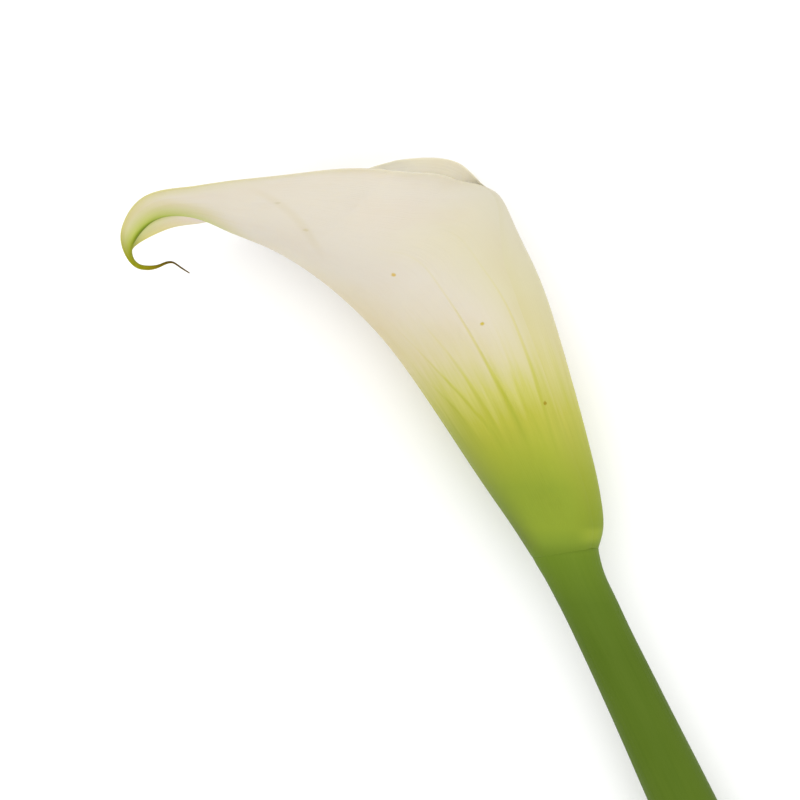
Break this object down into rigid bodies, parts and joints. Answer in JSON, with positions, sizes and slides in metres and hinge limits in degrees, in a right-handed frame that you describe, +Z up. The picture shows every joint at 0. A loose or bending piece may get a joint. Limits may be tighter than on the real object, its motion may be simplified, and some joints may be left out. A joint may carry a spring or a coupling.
{
  "type": "calla lily flower",
  "caption": "Cut calla lily lying on its side, with a round green stem and a white funnel-shaped spathe with a curled tip round a yellow spadix.",
  "frame": {"origin": "middle of the footprint, on the surface that the cut flower lies on", "axes": "+X along the stem from its cut end towards the bloom, +Y towards the side that the tip curls to, +Z up from the surface"},
  "size_m": [0.3296, 0.091, 0.0526],
  "materials": {
    "stem_skin": "smooth fresh green stem with a soft satin skin",
    "petal": "matte cream petal that turns yellow-green towards its base",
    "floret": "matte yellow, packed with fine florets"
  },
  "bodies": {
    "root": {"stem": "stem_skin", "spathe": "petal", "spadix": "floret"}
  },
  "joints": []
}
